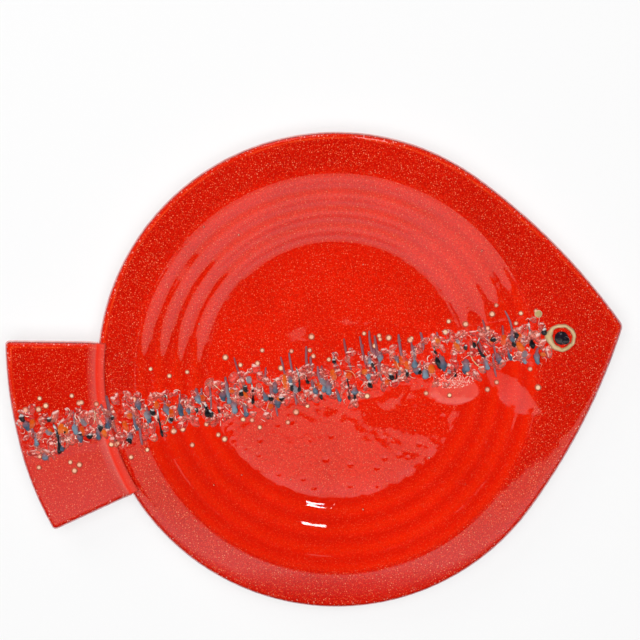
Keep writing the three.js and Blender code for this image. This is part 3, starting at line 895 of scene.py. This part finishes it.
threads = {
    "tan": {
        "count": 6, "reach": 13 * mm, "length": (5, 12), "lean": 1.2, "half": (0.2, 0.32),
        "profile": (12, 0.25), "bend": 0.15, "lift": 1.5 * mm},
    # Pale threads that stand in for highlights: painted highlights made as pieces.
    "curl": {
        "count": 210, "reach": 16 * mm, "length": (2.4, 5.4), "lean": 1.5, "half": (0.18, 0.36),
        "profile": (7, 0.3), "bend": 0.35, "lift": 1.2 * mm},
    "tanGlass": {"core": (0.72, 0.46, 0.22), "other": (0.9, 0.74, 0.5), "rim": (0.72, 0.46, 0.22)},
}
bits = {
    "white": {"count": 180, "reach": 14 * mm, "half": (0.25, 0.6), "stretch": (2, 4), "lean": 1.5},
    "bead": {"count": 11, "reach": 10 * mm, "half": (1.4, 2.4), "stretch": (2, 3.2), "lean": 0.5},
    "whiteLift": 1.0 * mm, "beadLift": 0.5 * mm, "beadFlat": 0.8,
    "whiteGlass": {"core": (0.95, 0.78, 0.66), "other": (0.88, 0.36, 0.31), "rim": (0.88, 0.36, 0.31)},
    # The grey beads' pale rim is a painted highlight.
    "greyGlass": {
        "core": (0.3, 0.24, 0.28), "other": (0.4, 0.44, 0.5), "rim": (0.95, 0.78, 0.66),
        "rimAt": (0.7, 0.95)},
}


def makeThreads(name, thread, material, sides=8):
    # Thin bent threads that lie at any angle.
    head, tip = laidAcross(thread)
    half = lumpProfile(mm * chance.uniform(*thread["half"], thread["count"]), *thread["profile"])
    bend = chance.normal(0, thread["bend"], thread["count"])
    makeChips(name, head, tip, half, half, material, "cream_glass", bend=bend, lift=thread["lift"],
              sides=sides)


def bitsAt(x, aside, bit):
    # Ends and half widths of short bits at given places.
    half = mm * chance.uniform(*bit["half"], len(x))
    return *axisAcross(x, aside, half * chance.uniform(*bit["stretch"], len(x)), bit["lean"]), half


def makeBits():
    makeThreads("tanThreads", threads["tan"], chipGlass("tanGlass", threads["tanGlass"], Roughness=0.12))
    # White bits, partly white frit and partly painted glints; then the highlight curls.
    head, tip, half = bitsAt(*scatter(bits["white"]["count"], bits["white"]["reach"]), bits["white"])
    white = chipGlass("whiteGlass", bits["whiteGlass"], Roughness=0.1)
    wide = lumpProfile(half, 5)
    makeChips("whiteBits", head, tip, wide, wide, white, "cream_glass", lift=bits["whiteLift"], sides=5)
    makeThreads("paleCurls", threads["curl"], white, sides=5)
    head, tip, half = bitsAt(*scatter(bits["bead"]["count"], bits["bead"]["reach"]), bits["bead"])
    grey = chipGlass("greyGlass", bits["greyGlass"], Transmission_Weight=0.5, Roughness=0.03)
    wide = lumpProfile(half)
    makeChips("greyBeads", head, tip, wide, bits["beadFlat"] * wide, grey, "blue_glass",
              lift=bits["beadLift"], sides=12)


grains = {
    "count": 420, "half": (0.12, 0.34), "stretch": (2, 3.5), "lean": 1.5,
    "at": (77 * mm, -15.5 * mm), "reach": (14 * mm, 6 * mm),
}


def ovalSpots(count):
    # Places spread evenly by chance over a disc of radius 1.
    turn = 2 * np.pi * chance.random(count)
    far = np.sqrt(chance.random(count))
    return far * np.cos(turn), far * np.sin(turn)


def makeGrains():
    # Grains of white glass strewn over an oval.
    x, y = ovalSpots(grains["count"])
    (atX, atY), (reachX, reachY) = grains["at"], grains["reach"]
    head, tip, half = bitsAt(atX + reachX * x, atY + reachY * y, grains)
    material = chipGlass("grainGlass", bits["whiteGlass"], Roughness=0.1)
    wide = lumpProfile(half, 6)
    makeChips("whiteGrains", head, tip, wide, wide, material, "cream_glass", sides=6)


bubbles = {
    "count": 16, "half": (0.5, 0.9), "flat": 0.5,
    "glass": {
        "core": (0.7, 0.05, 0.03), "other": (0.9, 0.3, 0.2), "rim": (0.2, 0.012, 0.01), "rimAt": (0.15, 0.4)},
}


def makeBubbles():
    # Lone bubbles under the skin of the glass, anywhere in the well.
    spot = wellRadius * np.stack(ovalSpots(bubbles["count"]), -1)
    half = mm * chance.uniform(*bubbles["half"], bubbles["count"])
    reach = np.stack([0 * half, half], -1)
    material = chipGlass("bubbleGlass", bubbles["glass"], Roughness=0.03)
    wide = lumpProfile(half, 10, 0.5)
    makeChips("bubbles", spot - reach, spot + reach, wide, bubbles["flat"] * wide, material, "red_glass",
              sides=12, domed=True)


makeGrains()
makeBubbles()
makeNuggets()
makeRibs()
makeDots()
makeStringers()
makeBits()


# Eye on the nose

eye = {
    "angles": 72, "sides": 14, "waver": 0.14, "thick": 0.155, "uneven": 0.022, "sink": 0.2,
    "point": 0.22, "pointAngle": np.radians(166), "pointHalf": 0.45, "pointOut": 0.4, "pointThick": 0.5,
    "glass": {
        "core": (0.48, 0.34, 0.14), "other": (0.68, 0.47, 0.25), "rim": (0.86, 0.63, 0.43),
        "rimAt": (0.6, 0.95), "patch": (0.68, 0.47, 0.25), "patchScale": 130},
}
eyeLumps = {  # size as a share of the solid's
    "eye_iris": {
        "size": 1.12, "shift": (-0.2 * mm, -0.3 * mm), "lift": 0, "slot": "violet_glass",
        "core": (0.014, 0.009, 0.015), "other": (0.06, 0.03, 0.05), "rim": (0.12, 0.01, 0.015),
        "rimAt": (0.8, 0.98)},
    # The pupil's pale grey rim is a painted highlight.
    "eye_pupil": {
        "size": 1.15, "shift": (1.0 * mm, -1.0 * mm), "lift": 0.6 * mm, "slot": "black_glass",
        "core": (0.004, 0.004, 0.005), "other": (0.014, 0.009, 0.015), "rim": (0.42, 0.4, 0.4),
        "rimAt": (0.5, 0.8)},
    "eye_dot": {
        "size": 1.02, "shift": (0, 0), "lift": 0, "slot": "cream_glass",
        "core": (0.48, 0.34, 0.14), "other": (0.68, 0.47, 0.25), "rim": (0.86, 0.63, 0.43),
        "rimAt": (0.3, 0.75)},
}


def nodeSpot(name):
    low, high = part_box(name)
    return (low.x + high.x) / 2, (low.y + high.y) / 2, (high.x - low.x) / 2, high.z - low.z


def makeEyeRing():
    # An oval carried round a wavering circle that is drawn out to a point towards the tail.
    x, y, outer, high = nodeSpot("eye_ring")
    angle = circle(eye["angles"])
    turn = circle(eye["sides"])
    waver = 1 + eye["waver"] * (np.sin(angle - 2.2) + 0.7 * np.sin(2 * angle + 0.6) + 0.4 * np.sin(5 * angle))
    point = eye["point"] * np.exp(-(apart(angle, eye["pointAngle"]) / eye["pointHalf"]) ** 2)
    half = eye["thick"] * outer * waver
    uneven = np.sin(3 * angle + 1) + 0.7 * np.sin(7 * angle) + 0.5 * np.sin(11 * angle + 2)
    middle = outer - half + outer * (eye["pointOut"] * point + eye["uneven"] * uneven)
    half = half + eye["pointThick"] * outer * point
    radius = middle[:, None] + half[:, None] * np.cos(turn)
    placeX = x + radius * np.cos(angle)[:, None]
    placeY = y + radius * np.sin(angle)[:, None]
    rise = high * np.sin(turn) * np.where(np.sin(turn) < 0, eye["sink"], 1)
    points = np.stack([placeX, placeY, plateTop(placeX, placeY) + rise], -1)
    number = np.arange(points.shape[0] * points.shape[1]).reshape(points.shape[:2])
    across = np.roll(number, -1, 1)
    quads = np.stack([number, np.roll(number, -1, 0), np.roll(across, -1, 0), across], -1).reshape(-1, 4)
    rim = np.tile(1 - np.maximum(np.sin(turn), 0), eye["angles"])
    material = chipGlass("eyeRingGlass", eye["glass"], Roughness=0.06)
    newPiece("eyeRing", points, [quads], material, ["eye_ring"], {"rim": rim, "luck": 0.5})


def makeEyeLumps():
    for node, lump in eyeLumps.items():
        x, y, half, high = nodeSpot(node)
        middle = np.array([[x, y]]) + lump["shift"]
        reach = np.array([half * lump["size"], 0])
        name = node.replace("eye_", "eye")
        material = chipGlass(name + "Glass", lump, Roughness=0.04)
        wide = lumpProfile(reach[:1], 20, 0.5)
        tall = lumpProfile(np.array([high]), 20, 0.5)
        makeChips(name, middle - reach, middle + reach, wide, tall, material, lump["slot"], [node], sides=24,
                  lift=lump["lift"], domed=True)


makeEyeRing()
makeEyeLumps()


# Camera, floor and light

view = {
    "roll": np.radians(9.46), "tilt": np.radians(6.85), "distance": 1.35, "sensor": 36, "radiusPixels": 236.2,
    "centrePixels": (336.5, 370.6), "framePixels": 640,
}
imageRight = Vector((np.cos(-view["roll"]), np.sin(-view["roll"]), 0))
imageUp = Vector((-imageRight.y, imageRight.x, 0))


def studioPoint(across, up, high):
    # A point to the right and up as the picture has it, at a height over the floor.
    return imageRight * across + imageUp * up + Vector((0, 0, high))


def makeCamera():
    away = studioPoint(0, np.sin(view["tilt"]), np.cos(view["tilt"]))
    lens = bpy.data.cameras.new("camera")
    lens.sensor_width = view["sensor"]
    lens.lens = view["sensor"] * view["radiusPixels"] * view["distance"] / (bodyRadius * view["framePixels"])
    # The plate sits off the picture's middle.
    lens.shift_x = 0.5 - view["centrePixels"][0] / view["framePixels"]
    lens.shift_y = view["centrePixels"][1] / view["framePixels"] - 0.5
    lens.clip_end = 20
    camera = bpy.data.objects.new("camera", lens)
    bpy.context.scene.collection.objects.link(camera)
    axes = Matrix((imageRight, away.cross(imageRight), away)).transposed().to_4x4()
    camera.matrix_world = Matrix.Translation(away * view["distance"] + Vector((0, 0, coverTop))) @ axes
    bpy.context.scene.camera = camera


def stagePanel(name, corners, material):
    # A flat panel that belongs to the studio and not to the plate.
    panel = newObject(name, [tuple(corner) for corner in corners], [tuple(range(len(corners)))], material)
    return panel


studio = {
    "floor": (0.92, 0.92, 0.92), "floorHalf": 4.0, "floorWhite": 0.64, "floorGlow": 0.97,
    "floorRoughness": 0.8, "floorShine": 0.1,
    "cardWhite": 1.4, "cardCool": (1.0, 1.0, 0.95), "cardWarm": (1.0, 0.97, 0.76),
    "window": {"place": (-0.25, 1.12, 0.68), "half": (0.16, 0.1), "strength": 6.0},
}
cards = {  # outlines across the picture and upwards, on upright planes below its middle or on a level one
    "lowCard": {"aside": 0.158, "outline": (
        (-1.6, 0), (1.2, 0), (1.2, 0.7), (0.3, 0.73), (0.2, 0.8), (0.14, 0.88), (0.125, 0.9), (0.113, 0.86),
        (0.1, 0.72), (0.085, 0.73), (0.068, 0.8), (0.055, 0.88), (0.045, 0.97), (0.035, 1.05), (0.02, 1.16),
        (0.008, 1.2), (-0.04, 1.2), (-0.075, 1.17), (-0.1, 1.0), (-0.117, 0.97), (-0.119, 0.59),
        (-0.15, 0.57), (-0.19, 0.56), (-0.212, 0.58), (-0.214, 0.8), (-0.25, 0.76), (-1.6, 0.6))},
    "rimCard": {"aside": 0.35, "outline": (
        (-0.142, 1.9), (-0.06, 1.9), (-0.06, 2.6), (-0.1, 2.74), (-0.142, 2.66))},
    "tailCard": {"aside": 0.35, "outline": ((-0.37, 1.45), (-0.3, 1.45), (-0.3, 1.85), (-0.37, 1.85))},
    "levelCard": {"level": 0.8, "outline": (
        (-0.036, -0.118), (0.006, -0.118), (0.006, -0.105), (-0.002, -0.097), (-0.036, -0.097))},
}


def makeFloor():
    # A pale floor. Seen straight by the camera it is part white, so that its shadow stays faint.
    material, tree, shader = newGlass(
        "paleFloor", Roughness=studio["floorRoughness"], Specular_IOR_Level=studio["floorShine"])
    shader.inputs["Base Color"].default_value = (*studio["floor"], 1)
    glow = add(tree, "Emission")
    glow.inputs["Strength"].default_value = studio["floorGlow"]
    mix = add(tree, "MixShader")
    seen = add(tree, "LightPath").outputs["Is Camera Ray"]
    feed(times(seen, studio["floorWhite"]), mix.inputs["Fac"])
    feed(shader.outputs["BSDF"], mix.inputs[1])
    feed(glow.outputs["Emission"], mix.inputs[2])
    feed(mix.outputs["Shader"], tree.nodes["Material Output"].inputs["Surface"])
    half = studio["floorHalf"]
    stagePanel("floor", [(-half, -half, 0), (half, -half, 0), (half, half, 0), (-half, half, 0)], material)


def glowMaterial(name):
    material = bpy.data.materials.new(name)
    material.use_nodes = True
    tree = material.node_tree
    tree.nodes.clear()
    glow = add(tree, "Emission")
    feed(glow.outputs["Emission"], add(tree, "OutputMaterial").inputs["Surface"])
    return material, glow


def cardGlow():
    # White that is warmer towards its top, and dimmer towards the top, the floor and the tail's end.
    material, glow = glowMaterial("whiteCard")
    axes = axesOf(objectPlace(glow.id_data))
    high = axes["Z"]
    foot = ranged(high, -0.02, 0.3)
    level = times(times(foot, foot), ranged(high, 0.4, 0.8, 1.0, 0.72))
    level = times(level, ranged(axes["X"], -0.34, -0.14, 0.72, 1.0))
    feed(times(level, studio["cardWhite"]), glow.inputs["Strength"])
    warm = ranged(high, 0.4, 0.7)
    feed(mixed(warm, studio["cardCool"], studio["cardWarm"]), glow.inputs["Color"])
    return material


def makeCards():
    # White cards and a window, which show only in the plate's gloss.
    white = cardGlow()
    panels = []
    for name, card in cards.items():
        if "level" in card:
            corners = [studioPoint(x, y, card["level"]) for x, y in card["outline"]]
        else:
            corners = [studioPoint(x, -card["aside"], z) for x, z in card["outline"]]
        panels.append(stagePanel(name, corners, white))
    window = studio["window"]
    middle = studioPoint(*window["place"])
    across = Vector((0, 0, 1)).cross(middle).normalized() * window["half"][0]
    rise = middle.cross(across).normalized() * window["half"][1]
    corners = [middle - across - rise, middle + across - rise, middle + across + rise, middle - across + rise]
    material, glow = glowMaterial("windowLight")
    glow.inputs["Strength"].default_value = window["strength"]
    panels.append(stagePanel("window", corners, material))
    for panel in panels:
        for rays in ("visible_camera", "visible_diffuse", "visible_shadow", "visible_transmission"):
            setattr(panel, rays, False)


lamps = {
    "overhead": {"place": (0.0, 0.05, 2.2), "size": (2.2, 2.2), "power": 60, "glossy": False},
    "key": {"place": (-0.9, 1.1, 1.0), "size": (0.9, 0.9), "power": 6.5, "glossy": False},
    "streak": {"place": (0.074, 0.392, 0.804), "size": (0.062, 0.06), "power": 0.3, "glossy": True},
}


def makeLamps():
    for name, lamp in lamps.items():
        light = bpy.data.lights.new(name, "AREA")
        light.shape = "RECTANGLE"
        light.size, light.size_y = lamp["size"]
        light.energy = lamp["power"]
        place = studioPoint(*lamp["place"])
        holder = bpy.data.objects.new(name, light)
        holder.location = place
        holder.rotation_euler = place.to_track_quat("Z", "Y").to_euler()
        holder.visible_glossy = lamp["glossy"]
        holder.visible_diffuse = not lamp["glossy"]
        holder.visible_camera = False
        bpy.context.scene.collection.objects.link(holder)


def makeWorld():
    # Dim overhead and bright towards the horizon, like a room with pale walls.
    world = bpy.data.worlds.new("room")
    world.use_nodes = True
    bpy.context.scene.world = world
    tree = world.node_tree
    high = axesOf(add(tree, "TexCoord").outputs["Generated"])["Z"]
    room = ranged(high, 0.12, 0.45, 0.9, 0.03)
    glossy = add(tree, "LightPath").outputs["Is Glossy Ray"]
    walls = times(ranged(high, 0.25, 0.62, 0.5, 0.0), glossy)
    feed(calc("ADD", room, walls), tree.nodes["Background"].inputs["Strength"])


makeCamera()
makeFloor()
makeCards()
makeLamps()
makeWorld()
bpy.context.scene.view_settings.view_transform = "Standard"
print("studio ready")
